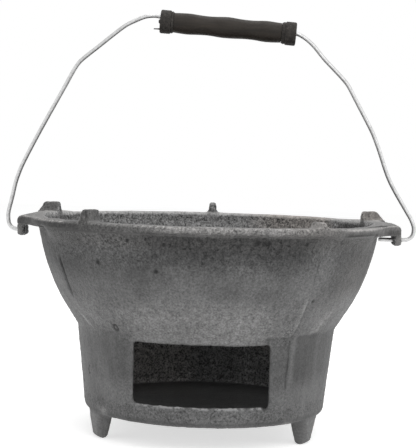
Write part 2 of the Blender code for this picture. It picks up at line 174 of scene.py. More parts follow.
def mottling(tree, place, scale, detail, roughness=0.5):
    """Cloudy unevenness from 0 to 1, finer the larger its scale."""
    sockets = {"Vector": place, "Scale": scale, "Detail": detail, "Roughness": roughness}
    return put(tree, "TexNoise", sockets).outputs["Fac"]


def stretched(tree, place, scale):
    """The place drawn out along an axis whose scale is small."""
    return put(tree, "Mapping", {"Vector": place, "Scale": scale}).outputs["Vector"]


def attribute(tree, name):
    """A mask painted on the piece's points, for use in its material."""
    return put(tree, "Attribute", attribute_name=name).outputs["Fac"]


def combined(tree, way, first, second):
    """Two numbers joined by a way such as ADD or MULTIPLY."""
    return put(tree, "Math", {0: first, 1: second}, operation=way).outputs[0]


def add_bump(tree, shader, height, strength, distance):
    """Relief too fine for the mesh, its depth in metres."""
    bump = put(tree, "Bump", {"Height": height, "Strength": strength, "Distance": distance})
    tree.links.new(bump.outputs["Normal"], shader.inputs["Normal"])


def grey(level, warmth=0.0):
    """A grey as the eye reads it, 0 to 255, a little warmer or cooler."""
    def linear(code):
        share = code / 255
        return share / 12.92 if share <= 0.04045 else ((share + 0.055) / 1.055) ** 2.4
    return (linear(level * (1 + warmth)), linear(level), linear(level * (1 - warmth)), 1)


CHIPPED_METAL = grey(170)
SCORCH = (1.0, 0.93, 0.87, 1)
DARKEST_GRAIN = 0.12


def cast_metal(name, dark, middle, soot_and_shade_colour, bare_and_highlight_colour, metal):
    """Sand-cast metal: grain, pits and worm tracks of the sand, clouds of handling, soot mixed with painted
    shade, and rubbed places mixed with painted highlights.

    The masks for soot with painted shade, for wear with painted highlights, grit, pitted, warm and chipped
    say where on the piece each shows.
    """
    material, tree, shader = new_material(name)
    place = put(tree, "TexCoord").outputs["Object"]
    grain = mottling(tree, place, 640, 4, 0.7)
    coarse = mottling(tree, place, 230, 3, 0.6)
    clouds = mottling(tree, place, 30, 4, 0.62)
    tracks = mottling(tree, place, 330, 1)
    hollows = mottling(tree, place, 300, 2, 0.6)
    drawn = mottling(tree, stretched(tree, place, (1, 1, 0.10)), 190, 2)

    body = blend_colours(tree, spread(tree, clouds, 0.32, 0.68), dark, middle)
    # Worn bare metal and painted highlights lighten the body; soot and painted shade darken it
    wear_and_highlight = combined(tree, "MULTIPLY", attribute(tree, "wear_and_highlight"),
                      spread(tree, coarse, 0.30, 0.65, 0.62, 1.08))
    body = blend_colours(tree, combined(tree, "MINIMUM", wear_and_highlight, 1.0), body, bare_and_highlight_colour)
    patchy = combined(tree, "MULTIPLY", attribute(tree, "soot_and_shade"),
                      spread(tree, coarse, 0.25, 0.75, 1.15, 0.80))
    body = blend_colours(tree, combined(tree, "MINIMUM", patchy, 1.0), body, soot_and_shade_colour)
    body = blend_colours(tree, attribute(tree, "warm"), body, SCORCH, "MULTIPLY")

    grit = attribute(tree, "grit")
    speckle = combined(tree, "MULTIPLY", grit, spread(tree, grain, 0.34, 0.66, -0.55, 0.62))
    mottle = combined(tree, "MULTIPLY", grit, spread(tree, coarse, 0.32, 0.68, -0.24, 0.24))
    soft = spread(tree, drawn, 0.3, 0.7, 0.94, 1.06)
    worms = combined(tree, "ABSOLUTE", combined(tree, "SUBTRACT", tracks, 0.5), 0.0)
    worms = combined(tree, "MULTIPLY", grit, spread(tree, worms, 0.0, 0.03, 0.22, 0.0))
    tone = combined(tree, "ADD", combined(tree, "ADD", speckle, mottle), combined(tree, "ADD", soft, worms))
    pits = combined(tree, "MULTIPLY", attribute(tree, "pitted"),
                    spread(tree, hollows, 0.385, 0.33, 0.0, 0.85))
    tone = combined(tree, "MULTIPLY", tone, combined(tree, "SUBTRACT", 1.0, pits))
    tone = combined(tree, "MAXIMUM", tone, DARKEST_GRAIN)
    body = put(tree, "VectorMath", {0: body, "Scale": tone}, operation="SCALE").outputs[0]
    chips = combined(tree, "MULTIPLY", attribute(tree, "chipped"), spread(tree, coarse, 0.45, 0.52))
    body = blend_colours(tree, combined(tree, "MINIMUM", chips, 1.0), body, CHIPPED_METAL)

    tree.links.new(body, shader.inputs["Base Color"])
    tree.links.new(spread(tree, coarse, 0.2, 0.8, 0.54, 0.80), shader.inputs["Roughness"])
    shader.inputs["Metallic"].default_value = metal
    relief = combined(tree, "MULTIPLY", grain, spread(tree, grit, 0, 1, 0.35, 1.5))
    relief = combined(tree, "ADD", relief, coarse)
    relief = combined(tree, "SUBTRACT", relief, combined(tree, "MULTIPLY", pits, 1.2))
    add_bump(tree, shader, relief, 0.55, 0.0007)
    return material


casting = even_copy("stove_body", "stove_casting", SKIN_NET, EDGE_EASING)
places, outward = points_and_normals(casting)
to_right, to_rear, level = places.T
sideways = np.abs(to_right)
reach = np.hypot(to_right, to_rear)
# Degrees round the bowl's axis: the right ear is at 0, the rear at 90, the left ear at 180, the front at 270
around = np.degrees(np.arctan2(to_rear, to_right)) % 360
radial = (outward[:, 0] * to_right + outward[:, 1] * to_rear) / np.maximum(reach, 1e-6)
upward = outward[:, 2]
forward = -outward[:, 1]
right_half = (to_right > 0) * 1.0
front = to_rear < -0.03


def along_wall(angle):
    """Distance of each point from an angle, along the wall."""
    return reach * np.radians(around - angle)


# The casting's own places, in metres from the ground and from the bowl's axis
SKIRT_BOTTOM = 0.0215
CHAMBER_FLOOR = 0.0247
CHAMBER_ROOF = 0.0885
CHAMBER_REACH = 0.0985
RIM_UNDERSIDE = 0.1721
RIM_TOP = 0.1789
RIM_RADIUS = 0.1485
EAR_START = 0.1430

outer_wall = fade(radial, 0.1, 0.5) * fade(reach, CHAMBER_REACH - 0.0030, CHAMBER_REACH)
outer_wall *= fade(level, SKIRT_BOTTOM, SKIRT_BOTTOM + 0.0045)
outer_bowl = outer_wall * (1 - fade(level, RIM_UNDERSIDE - 0.0015, RIM_UNDERSIDE + 0.0005))
hollow = fade(-radial, 0.0, 0.3)
in_chamber = 1 - fade(level, CHAMBER_ROOF, CHAMBER_ROOF + 0.0040)
in_chamber *= (1 - fade(reach, CHAMBER_REACH, CHAMBER_REACH + 0.0025)) * fade(level, 0.0225, 0.0240)
chamber_floor = in_chamber * (1 - fade(level, CHAMBER_FLOOR, CHAMBER_FLOOR + 0.0020))
in_chamber *= np.maximum(hollow, chamber_floor)
on_ear = fade(sideways, EAR_START, EAR_START + 0.0060) * fade(level, 0.1600, 0.1640)
rim_face = fade(level, RIM_UNDERSIDE, 0.1732) * fade(reach, 0.1440, 0.1465) * (1 - on_ear)
on_rest = fade(level, RIM_TOP + 0.0004, RIM_TOP + 0.0016)
right_rests = on_rest * (to_right > 0.1)
far_edge = fade(level, RIM_TOP - 0.0034, RIM_TOP - 0.0010) * fade(to_rear, 0.0, 0.05) * (1 - on_ear)
far_edge *= (1 - on_rest) * fade(upward + 0.4, 0.1, 0.5)

# How strong the sand's grain shows: rough under and on the rim and in the bowl, fine on the chamber's sides.
# An arc is a stretch of angles and a band is one of heights: where it starts, is full, wanes and ends.
ROUGH_ARC = (200, 222, 288, 318)
ROUGH_RIM_ARC = (200, 212, 300, 312)
SMOOTH_RIM_ARC = (310, 318, 344, 352)
SIDE_PANEL_ARCS = ((309, 311, 340, 350), (190, 200, 226, 236))
HIGH_BAND = (0.1380, 0.1560, 0.1720, 0.1730)
WAIST_BAND = (0.0780, 0.0940, 0.1080, 0.1260)
SKIRT_BAND = (0.0240, 0.0280, 0.0350, 0.0380)
LEAST_GRIT = 0.4
REST_GRIT = 0.8
CHAMBER_GRIT = 2.0
CHAMBER_FLOOR_GRIT = 0.5

high_band = within(level, *HIGH_BAND) * outer_bowl
waist = within(level, *WAIST_BAND) * outer_bowl * (1 - fade(around, 306, 312))
side_panels = sum(within(around, *arc) for arc in SIDE_PANEL_ARCS)
side_panels *= outer_bowl * (1 - fade(level, 0.088, 0.094))
grit = layered((
    (0.66, outer_wall),
    (0.25, high_band),
    (0.45, high_band * within(around, *ROUGH_ARC)),
    (0.12, waist),
    (0.40, within(level, *SKIRT_BAND) * outer_wall),
    (0.15, rim_face),
    (0.35, rim_face * within(around, *ROUGH_RIM_ARC)),
    (-0.25, rim_face * within(around, *SMOOTH_RIM_ARC)),
    (1.55, hollow * fade(level, 0.0950, 0.1000)),
))
grit_inside = CHAMBER_GRIT + (CHAMBER_FLOOR_GRIT - CHAMBER_GRIT) * chamber_floor
grit = np.where(in_chamber > 0.5, grit_inside, np.maximum(grit, LEAST_GRIT))
grit = np.maximum(grit, on_rest * REST_GRIT)
grit *= 1 - far_edge * 0.65
grit -= side_panels * 0.22

# Lumps of the mould's wall and the sand's grain lift the skin, and two seams with a raised panel between
# them cross it. The right seam is a ridge on the lower bowl and a groove above and below it, and the left one
# is a crease. The metal also swells a little where the front of the bowl meets the chamber, and once more to
# the right of the window.
LUMP_DEPTH = 0.00035
GRAIN_DEPTH = 0.00015
SEAM_RIGHT = 309.0
SEAM_LEFT = 213.3
SEAM_WANDER = 0.0008
SEAM_RISE = 0.0008
SEAM_SINK = 0.00064
CREASE_SINK = 0.0012
PANEL_RISE = 0.0004
# Each stretch of the right seam's groove: its shift, half width, band and strength
SEAM_GROOVES = ((-0.0008, 0.0011, (0.1280, 0.1340, 0.1460, 0.1560), 1.0),
                (0.0, 0.0010, (0.0480, 0.0540, 0.0880, 0.0920), 1.0),
                (-0.0018, 0.0010, (0.0900, 0.0940, 0.1240, 0.1280), 0.5))
RIDGE_BAND = (0.0960, 0.1020, 0.1280, 0.1400)
CREASE_BAND = (0.1130, 0.1230, 0.1440, 0.1520)
FRONT_WAIST_ARC = (222, 240, 296, 312)
FRONT_SWELL = 0.0011
FRONT_SWELL_HEIGHT = 0.0905
RIGHT_SWELL = 0.0008
RIGHT_SWELL_ANGLE = 329
RIGHT_SWELL_HEIGHT = 0.0995

lumps = (rough(places, 0.026, 1) + rough(places, 0.008, 2) * 0.45) * LUMP_DEPTH
sand = (rough(places, 0.0030, 3) + rough(places, 0.0017, 4) * 0.8) * GRAIN_DEPTH
rise = (lumps + sand * (0.5 + 1.6 * grit)) * fade(level, 0.0010, 0.0030)

wander = rough(places, 0.012, 5) * SEAM_WANDER
from_right_seam = along_wall(SEAM_RIGHT) + wander
from_left_seam = along_wall(SEAM_LEFT) + wander
front_panel = fade(from_left_seam, -0.0010, 0.0040) * (1 - fade(from_right_seam, -0.0020, 0.0010))
seam_patches = np.clip(0.60 + rough(places, 0.0140, 12), 0, 1)
seam_ridge = spot(from_right_seam + 0.0010, 0.0019) * within(level, *RIDGE_BAND) * seam_patches
seam_groove = layered((strength * seam_patches, spot(from_right_seam + shift, width) * within(level, *band))
                      for shift, width, band, strength in SEAM_GROOVES)
seam_chips = spot(from_right_seam + 0.0030, 0.0070) * spot(level - 0.0940, 0.0075) * outer_bowl
crease = spot(from_left_seam + 0.0006, 0.0020) * within(level, *CREASE_BAND)
front_swell = spot(level - FRONT_SWELL_HEIGHT, 0.010) * within(around, *FRONT_WAIST_ARC)
right_swell = spot(level - RIGHT_SWELL_HEIGHT, 0.0060) * spot(around - RIGHT_SWELL_ANGLE, 5.0)
rise += layered((
    (PANEL_RISE, front_panel * outer_bowl),
    (SEAM_RISE, seam_ridge * outer_bowl),
    (-SEAM_SINK, seam_groove * outer_bowl),
    (-CREASE_SINK, crease * outer_bowl),
    (FRONT_SWELL, front_swell * outer_wall),
    (RIGHT_SWELL, right_swell * outer_wall),
))

# Pits left by loose sand, as (angle, height, size, depth), and a ring-shaped one, as (angle, height, radius)
PITS = ((195.9, 0.0440, 0.0016, 0.0007), (207.8, 0.0590, 0.0013, 0.0007), (206.6, 0.0562, 0.0011, 0.0006),
        (207.4, 0.0535, 0.0012, 0.0006), (233.9, 0.1480, 0.0014, 0.0007), (246.5, 0.1668, 0.0012, 0.0007),
        (255.0, 0.1434, 0.0014, 0.0008), (258.0, 0.1645, 0.0010, 0.0006), (281.2, 0.1662, 0.0009, 0.0006),
        (286.3, 0.1677, 0.0014, 0.0012), (288.6, 0.1670, 0.0015, 0.0013), (290.0, 0.1676, 0.0009, 0.0007),
        (303.0, 0.1668, 0.0010, 0.0006), (311.8, 0.1209, 0.0014, 0.0007))
RING_PIT = (232.8, 0.0961, 0.0021)
RING_WIDTH = 0.0011
RING_DEPTH = 0.0009

pits = np.zeros(len(level))
for angle, height, size, depth in PITS:
    pit = spot(np.hypot(along_wall(angle), level - height), size) * outer_wall
    rise -= pit * depth
    pits = np.maximum(pits, pit)
ring_away = np.hypot(along_wall(RING_PIT[0]), level - RING_PIT[1])
ring_pit = spot(ring_away - RING_PIT[2], RING_WIDTH) * outer_wall
rise -= ring_pit * RING_DEPTH

# The window's sill carries a torn line of flash and is nicked at its right end, and the window's upper right
# corner is filed off
WINDOW_BOTTOM = 0.0370
WINDOW_TOP = 0.0871
WINDOW_HALF = 0.0522
NICK = (0.0500, WINDOW_BOTTOM)
FILED_CORNER = (0.0518, WINDOW_TOP)
FLASH_RISE = 0.0003
FLASH_TEARS = 0.0009
NICK_DEPTH = 0.0016
FILED_DEPTH = 0.0008

torn_right = to_right + rough(places, 0.0040, 9) * 0.0010
sill_edge = WINDOW_BOTTOM - 0.0002 + rough(places, 0.0060, 13) * 0.0004
at_sill = spot(level - sill_edge, 0.0009) * within(torn_right, -WINDOW_HALF, -0.0500, 0.0480, WINDOW_HALF)
at_sill *= fade(forward, 0.05, 0.4) * fade(reach, CHAMBER_REACH, CHAMBER_REACH + 0.0020) * front
nick = spot(np.hypot(to_right - NICK[0], level - NICK[1]), 0.0024) * front
filed = spot(np.hypot(to_right - FILED_CORNER[0], level - FILED_CORNER[1]), 0.0030) * front * outer_wall
rise += at_sill * (FLASH_RISE + rough(places, 0.0050, 10) * FLASH_TEARS)
rise -= nick * NICK_DEPTH + filed * FILED_DEPTH

# The rim warped a little as it cooled, and a fillet of metal hides its underside on both sides of the front
RIM_TILT = 0.0048
RIM_SAG = 0.0007
RIM_SAG_ANGLE = 325
RIM_SAG_SPREAD = 20
RIM_FILLET = 0.0064
RIM_UNDERCUT = 0.0030
FILLET_FOOT = 0.1540
LEFT_FILLET_ARC = (203, 214, 236, 256)
RIGHT_FILLET_ARC = (310, 318, 334, 344)
UNDERCUT_ARC = (242, 258, 304, 316)
BOWL_TOP_RADIUS = 0.1414
FILLET_REACH = (BOWL_TOP_RADIUS - 0.0050, BOWL_TOP_RADIUS - 0.0025, BOWL_TOP_RADIUS, RIM_RADIUS - 0.0006)

drop = to_rear * RIM_TILT - spot(around - RIM_SAG_ANGLE, RIM_SAG_SPREAD) * RIM_SAG
drop *= fade(level, 0.1560, RIM_UNDERSIDE) * (1 - fade(level, RIM_TOP + 0.0010, RIM_TOP + 0.0040))
filled = within(around, *LEFT_FILLET_ARC) + 0.6 * within(around, *RIGHT_FILLET_ARC)
push = RIM_FILLET * filled * fade(level, FILLET_FOOT, RIM_UNDERSIDE + 0.0004) ** 2
push *= fade(radial + 0.6, 0.1, 0.5)
push *= 1 - fade(level, RIM_UNDERSIDE + 0.0006, RIM_UNDERSIDE + 0.0018)
push *= within(reach, *FILLET_REACH)
ragged = level + rough(places, 0.0050, 14) * 0.0007
undercut = within(around, *UNDERCUT_ARC) * fade(reach, 0.1430, 0.1475) * fade(level, 0.1690, 0.1705)
undercut *= 1 - fade(ragged, RIM_UNDERSIDE + 0.0004, RIM_UNDERSIDE + 0.0024)
push -= RIM_UNDERCUT * undercut

# Each ear's top is a shallow dish behind its front lip, and it climbs a little to the rear
EAR_SPAN = (0.1220, 0.1330, 0.1490, 0.1550)
EAR_LIP_START = 0.1343
EAR_LIP_ROOT = -0.0598
EAR_LIP_SLANT = 2.07
EAR_DISH = 0.0013
EAR_CLIMB = 0.0014
RIGHT_CLIMB_LESS = 0.0006
SLIT_BAND = (0.0070, 0.0085, 0.0110, 0.0125)

behind_lip = to_rear - (EAR_LIP_ROOT + (sideways - EAR_LIP_START) * EAR_LIP_SLANT)
ear_top = within(sideways, *EAR_SPAN) * fade(upward, 0.3, 0.8) * fade(level, 0.1750, 0.1775)
ear_top *= (1 - on_rest) * fade(reach, 0.1355, 0.1385)
dished = fade(behind_lip, 0.0030, 0.0075) * (1 - fade(behind_lip, 0.0085, 0.0115 + 0.030 * (1 - right_half)))
climb = fade(behind_lip, 0.0100, 0.0600) * (EAR_CLIMB - RIGHT_CLIMB_LESS * right_half)
drop += ear_top * (climb - dished * EAR_DISH)
# The slit behind the right ear's lip is darkened with painted shadow
slit = ear_top * within(behind_lip, *SLIT_BAND) * right_half * (1 - fade(sideways, 0.1460, 0.1490))

# The lugs stand flush with the ears' ends, and the rear rest is a little thicker than the others
LUG_FLUSH = 0.0006
REAR_REST_SWELL = 0.0008

moved = places + outward * rise[:, None]
moved[:, :2] *= (1 + push / np.maximum(reach, 1e-6))[:, None]
moved[:, 2] += drop
on_lug = fade(sideways, 0.1500, 0.1530) * (1 - fade(level, 0.1690, 0.1720))
moved[:, 0] += np.sign(to_right) * on_lug * fade(np.sign(to_right) * outward[:, 0], 0.3, 0.8) * LUG_FLUSH
on_rear_rest = fade(level, RIM_TOP + 0.0020, RIM_TOP + 0.0060) * (to_rear > 0.12)
moved[:, 0] += on_rear_rest * np.clip(outward[:, 0] / 0.6, -1, 1) * REAR_REST_SWELL
set_points(casting, moved)
in_fillet = (filled > 0.15) & (level > 0.1600) & (level < 0.1762) & (radial > -0.2) & (reach > 0.1340)
ease_points(casting, in_fillet, 8)

# Soot, painted shade and darkened marks: soot under the front of the rim with the rim's shadow painted into
# it, soot up both sides, in the bowl and on the chamber's floor; painted shade on flats of the chamber's
# sides, on the front faces of the rim's sides and ears, on the ledge and in the undercut under the rim, in
# the ear's slit, along the rim's crease, in the seam's groove and the crease; and the pits and the nick
# darkened
SMOKE_AND_SHADOW_ARC = (243, 264, 298, 322)
SHOULDER_LEFT_ARC = (182, 194, 246, 264)
SHOULDER_RIGHT_ARC = (310, 320, 344, 352)
SHOULDER_RIGHT_BAND = (0.1150, 0.1350, 0.1680, 0.1720)
# Painted shade on flats of the chamber's sides, as (strength, arc)
SHADED_CHAMBER_FLATS = ((0.50, (311.5, 314, 325, 331)), (0.26, (220, 223, 236, 241)), (0.40, (294, 298, 309, 312)),
                 (0.42, (327, 333, 338, 358)))
BOWL_SOOT_BAND = (CHAMBER_ROOF, 0.0925, 0.1250, 0.1600)
LEDGE_BAND = (0.1600, 0.1640, 0.1730, 0.1742)
LEDGE_ARC = (186, 194, 240, 256)
SKIRT_SOOT_BAND = (0.0230, 0.0250, 0.0340, 0.0370)
BELLY_ARC = (222, 236, 290, 306)
BELLY_BAND = (0.1200, 0.1300, 0.1500, 0.1600)
STUMP_ARC = (301, 304, 310.5, 313.5)
LEFT_RIM_ARC = (198, 208, 238, 252)
RIM_CREASE_ARC = (314, 319, 337, 343)
WALL_SLIT_BAND = (0.1660, 0.1690, 0.1742, 0.1752)

# Soot under the front of the rim, with the rim's shadow painted into it
smoke_and_rim_shadow = within(around, *SMOKE_AND_SHADOW_ARC) * fade(level, 0.1350, 0.1600) * outer_bowl
shoulder_left = within(around, *SHOULDER_LEFT_ARC) * fade(level, 0.1250, 0.1480) * outer_wall * (1 - on_ear)
shoulder_left *= (1 - fade(upward, 0.2, 0.6)) * (1 - 0.3 * fade(around, 222, 240))
shoulder_right = within(around, *SHOULDER_RIGHT_ARC) * within(level, *SHOULDER_RIGHT_BAND) * outer_bowl
shaded_chamber_flats = layered((strength, within(around, *arc)) for strength, arc in SHADED_CHAMBER_FLATS)
shaded_chamber_flats *= (1 - fade(level, 0.0915, 0.0940)) * fade(level, 0.0440, 0.0640) * outer_wall
rim_side = fade(sideways, 0.1020, 0.1150) * fade(level, 0.1690, 0.1710) * (to_rear < 0.02)
# Painted shade on the front faces of the rim's sides and ears, below their lit tops
under_edge = rim_side * fade(forward, 0.2, 0.5) * (1 - fade(upward, 0.10, 0.40))
under_right_edge = 0.10 + 0.45 * (1 - fade(level, 0.1735, 0.1765))
under_left_edge = 0.15 + 0.45 * on_ear
under_edge *= np.where(to_right > 0, under_right_edge, under_left_edge)
front_left_rest = on_rest * front * (to_right < 0)
# Painted highlight on the front-left rest's left flank, kept clear of soot
rest_flank = front_left_rest * fade(-outward[:, 0], 0.15, 0.50)
# Painted shade on the downward-facing ledge under the rim at the left and front
ledge = within(level, *LEDGE_BAND) * fade(reach, 0.1360, 0.1380) * within(around, *LEDGE_ARC)
ledge *= (1 - fade(radial, 0.1, 0.5)) * fade(radial, -0.5, -0.2)
stump = within(around, *STUMP_ARC) * fade(level, RIM_TOP - 0.0010, RIM_TOP + 0.0010)
# Thin line of painted shadow where the rim's lip meets the fillet on the right
rim_crease = spot(level - 0.1727, 0.0008) * within(around, *RIM_CREASE_ARC) * fade(radial, 0.0, 0.3)
# Painted shadow line on the bowl's inner wall just below the right rim
wall_slit = hollow * within(level, *WALL_SLIT_BAND) * fade(sideways, 0.1120, 0.1160) * right_half
paint_mask(casting, "soot_and_shade", layered((
    (0.79, smoke_and_rim_shadow),
    (0.57, shoulder_left),
    (0.48, shoulder_right),
    (1.00, shaded_chamber_flats),
    (0.50, hollow * within(level, *BOWL_SOOT_BAND)),
    (0.86, chamber_floor),
    (1.00, under_edge),
    (0.12, on_rest * (1 - rest_flank)),
    (0.22, front_left_rest * (1 - rest_flank)),
    (-0.12, right_rests),
    (-0.12, stump),
    (0.60, ledge),
    (0.15, within(level, *SKIRT_SOOT_BAND) * outer_wall),
    (0.07, within(around, *BELLY_ARC) * within(level, *BELLY_BAND) * outer_bowl),
    # painted shadow in the undercut beneath the rim
    (0.35, undercut),
    (1.20, pits),
    (0.80, nick),
    # painted shade in the right seam's groove and in the left crease
    (0.85, seam_groove * outer_bowl),
    (0.95, crease * outer_bowl),
    (0.90, ring_pit * outer_bowl),
    (0.15, seam_chips),
    (0.80, slit),
    (0.20, rim_face * within(around, *LEFT_RIM_ARC)),
    (0.70, rim_crease),
    (0.50, wall_slit),
)))

# Rubbed bright where worn: the rim's front, ears, lugs and feet. Painted highlights and painted light: the
# rim's edges, the seam's ridge, the corners where the bowl meets the chamber, the rests, the feet's roots,
# the bowl's right side and inner walls and the chamber's inner sides, and a painted reflection of the floor
# on the bowl's lower band
BRIGHT_RIM_ARC = (246, 262, 294, 312)
FAINT_HIGHLIGHT_ARC = (205, 214, 238, 252)
RIGHT_SIDE_ARC = (311, 318, 334, 346)
RIGHT_SIDE_BAND = (0.0940, 0.1050, 0.1400, 0.1550)
RIGHT_CORNER_BAND = (0.0920, 0.0960, 0.1060, 0.1160)
FRONT_BELLY_ARC = (234, 250, 290, 306)
INNER_RIGHT_ARC = (26, 38, 66, 84)
CHAMBER_LEFT_ARC = (92, 104, 180, 190)
CHAMBER_RIGHT_ARC = (20, 30, 66, 82)

# Painted highlight along the rim's top outer edge, fainter at the left front
highlit_near_edge = rim_face * fade(upward, 0.35, 0.8) * (1 - 0.8 * within(around, *FAINT_HIGHLIGHT_ARC))
# Painted light on the bowl's inner walls beside the ears
dish_wall = fade(sideways, 0.1200, 0.1290) * fade(level, 0.1620, 0.1660) * (1 - right_half)
dish_wall += fade(sideways, 0.1110, 0.1170) * fade(level, 0.1742, 0.1756) * right_half
dish_wall *= hollow * (1 - fade(to_rear, 0.030 + 0.035 * right_half, 0.045 + 0.035 * right_half))
# Painted highlight on the up-facing edges of the rim's sides and ears
side_edge = rim_side * spot(upward - 0.68, 0.34) * fade(forward, 0.15, 0.45) * (1 - on_rest)
# Painted highlights on the corners where the bowl's flare meets the chamber, left and right
left_corner = spot(along_wall(214) + (level - 0.0980) * 0.9, 0.0022) * spot(level - 0.0985, 0.0060)
right_corner = spot(along_wall(324.5) - (level - 0.1050) * 0.45, 0.0050) * within(level, *RIGHT_CORNER_BAND)
# Painted light on the bowl's right side
right_side = within(around, *RIGHT_SIDE_ARC) * within(level, *RIGHT_SIDE_BAND)
# Painted light along the top of the bowl's inner wall, more at the right
inner_edge = hollow * fade(level, 0.1500, 0.1650) * fade(to_rear, 0.02, 0.08)
# Painted highlights on the fillets at the roots of the front feet
foot_root = spot(np.hypot(to_right + 0.0785, level - 0.0255), 0.0034)
foot_root += spot(np.hypot(to_right - 0.0670, level - 0.0215), 0.0030)
on_foot = (1 - fade(level, 0.0190, 0.0220)) * (to_rear < 0)
# Painted highlight at the foot of the front-left rest
rest_foot = spot(np.hypot(to_right + 0.0920, level - 0.1800), 0.0045) * front
# Painted light on the chamber's inner side walls, seen through the window
chamber_sides = within(around, *CHAMBER_LEFT_ARC) + 0.8 * within(around, *CHAMBER_RIGHT_ARC)
paint_mask(casting, "wear_and_highlight", layered((
    (0.29, rim_face * within(around, *BRIGHT_RIM_ARC)),
    (0.28, highlit_near_edge),
    # painted highlight on the far rim's top edge
    (0.85, far_edge),
    (1.10, side_edge),
    # painted reflection of the pale floor on the bowl's lower band, stronger at the front
    (0.08, waist),
    (0.20, waist * within(around, *FRONT_BELLY_ARC)),
    (0.25, ear_top * (1 - slit)),
    (-0.10, ear_top * (1 - slit) * right_half),
    (0.25, dish_wall),
    (0.25, on_lug),
    (0.25, inner_edge),
    (0.18, inner_edge * within(around, *INNER_RIGHT_ARC)),
    (0.55, left_corner * outer_wall),
    (0.38, right_corner * outer_wall),
    # painted highlight along the right seam's ridge
    (0.42, seam_ridge * outer_wall),
    (0.12, right_side * outer_wall),
    (0.75, foot_root * front),
    (0.32, on_foot),
    (-0.20, on_foot * right_half),
    (0.30, rest_flank),
    # painted highlight on the right rests
    (0.25, right_rests),
    (0.35, rest_foot),
    (0.35, stump),
    (0.28, in_chamber * (1 - chamber_floor) * chamber_sides),
)))

# Pits in the sand's print, the warm tint that heat and hands leave, and bright chips along the window's edge
PITTED_ARC = (200, 218, 300, 318)
PITTED_BAND = (0.1500, 0.1620, 0.1715, 0.1730)
SCORCHED_BOWL_ARC = (34, 42, 62, 80)
SCORCHED_CHAMBER_ARC = (92, 108, 140, 160)
HANDLED_ARC = (318, 330, 352, 360)
STUMP_TINT_ARC = (292, 300, 311, 317)

pitted = layered((
    (0.80, within(level, *PITTED_BAND) * within(around, *PITTED_ARC) * outer_wall),
    (0.70, hollow * fade(level, 0.1000, 0.1100)),
    (0.15, waist),
    (0.30, rim_face),
    (0.50, on_rest),
    (0.90, seam_chips),
))
handled = np.maximum(fade(level, 0.1560, 0.1660), within(around, *HANDLED_ARC) * fade(level, 0.1150, 0.1300))
warm = layered((
    (0.80, within(around, *SCORCHED_BOWL_ARC) * hollow * (1 - in_chamber)),
    (0.45, within(around, *SCORCHED_CHAMBER_ARC) * in_chamber),
    (0.70, right_rests),
    (0.22, handled * (1 - hollow)),
    (0.25, within(around, *STUMP_TINT_ARC) * fade(level, 0.1690, 0.1730)),
))
paint_mask(casting, "pitted", (0.10 + pitted) * (1 - far_edge * 0.8))
paint_mask(casting, "grit", grit + seam_chips * 0.7)
paint_mask(casting, "warm", warm)
paint_mask(casting, "chipped", at_sill * (1 - nick) + filed * 0.25)
sand_cast_skin = cast_metal("sand_cast_skin", grey(92), grey(114), grey(34), grey(164, 0.005), 0.35)
casting.data.materials.append(sand_cast_skin)
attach(casting, "stove")
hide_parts("stove_body")

# The grate is a loose cast-iron disc with slots, laid on the seat where the bowl narrows to the ash chamber.
# The coals lie on it, and ash falls through its slots.

GRATE_NET = 0.0010
GRATE_LUMPS = 0.00018
GRATE_GRAIN = 0.00010
GRATE_INSET = 0.0001

grate = even_copy("charcoal_grate", "charcoal_grate_casting", GRATE_NET, EDGE_EASING)
places, outward = points_and_normals(grate)
rise = rough(places, 0.014, 6) * GRATE_LUMPS + rough(places, 0.0022, 7) * GRATE_GRAIN
set_points(grate, places + outward * (rise - GRATE_INSET)[:, None])
paint_mask(grate, "soot_and_shade", 0.35 + 0.25 * rough(places, 0.030, 8))
paint_mask(grate, "grit", np.full(len(places), 0.7))
paint_mask(grate, "pitted", np.full(len(places), 0.4))
paint_mask(grate, "warm", 0.4 + 0.4 * rough(places, 0.020, 11))
grate.data.materials.append(cast_metal("grate_iron", grey(60), grey(76), grey(28), grey(100), 0.30))
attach(grate, "grate")
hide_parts("charcoal_grate")

# The bail is one length of galvanised wire, bent by hand: its ends turn inwards through the lugs under the
# ears, and its top run carries the grip.

WIRE_RADIUS = 0.0017
WIRE_SIDES = 18
WIRE_END_SHARE = 0.8
WIRE_STEP = 0.0013
# The wire's bends as (to the right, up): from the left lug to the grip, and from the grip to the right lug
WIRE_LEFT = ((-0.1550, 0.1657), (-0.1617, 0.1657), (-0.1662, 0.1673), (-0.1686, 0.1709), (-0.1692, 0.1790),
             (-0.1661, 0.1930), (-0.1631, 0.2065), (-0.1582, 0.2201), (-0.1448, 0.2472), (-0.1231, 0.2879),
             (-0.1159, 0.3015), (-0.1110, 0.3083), (-0.0946, 0.3220), (-0.0823, 0.3322), (-0.0737, 0.3388),
             (-0.0662, 0.3427), (-0.0579, 0.3462), (-0.0505, 0.3472))
WIRE_RIGHT = ((0.0762, 0.3316), (0.0836, 0.3253), (0.0923, 0.3152), (0.1070, 0.3004), (0.1127, 0.2939),
              (0.1202, 0.2808), (0.1345, 0.2549), (0.1400, 0.2417), (0.1501, 0.2151), (0.1657, 0.1887),
              (0.1693, 0.1827), (0.1717, 0.1762), (0.1712, 0.1703), (0.1685, 0.1670), (0.1645, 0.1657),
              (0.1426, 0.1657))
GRIP_LEFT = -0.0449
GRIP_RIGHT = 0.0684
GRIP_HEIGHT = 0.33955
GRIP_TILT = -0.0705
WIRE_ABOVE_LEFT_END = 0.0037
WIRE_ABOVE_RIGHT_END = 0.0006
WIRE_CENTRED_AFTER = 0.0088
INNER_SIDE_SHADE_SHARE = 0.42


def on_grip(along):
    """Point of the grip's axis over a place to the right, as (to the right, up)."""
    return (along, GRIP_HEIGHT + GRIP_TILT * along)


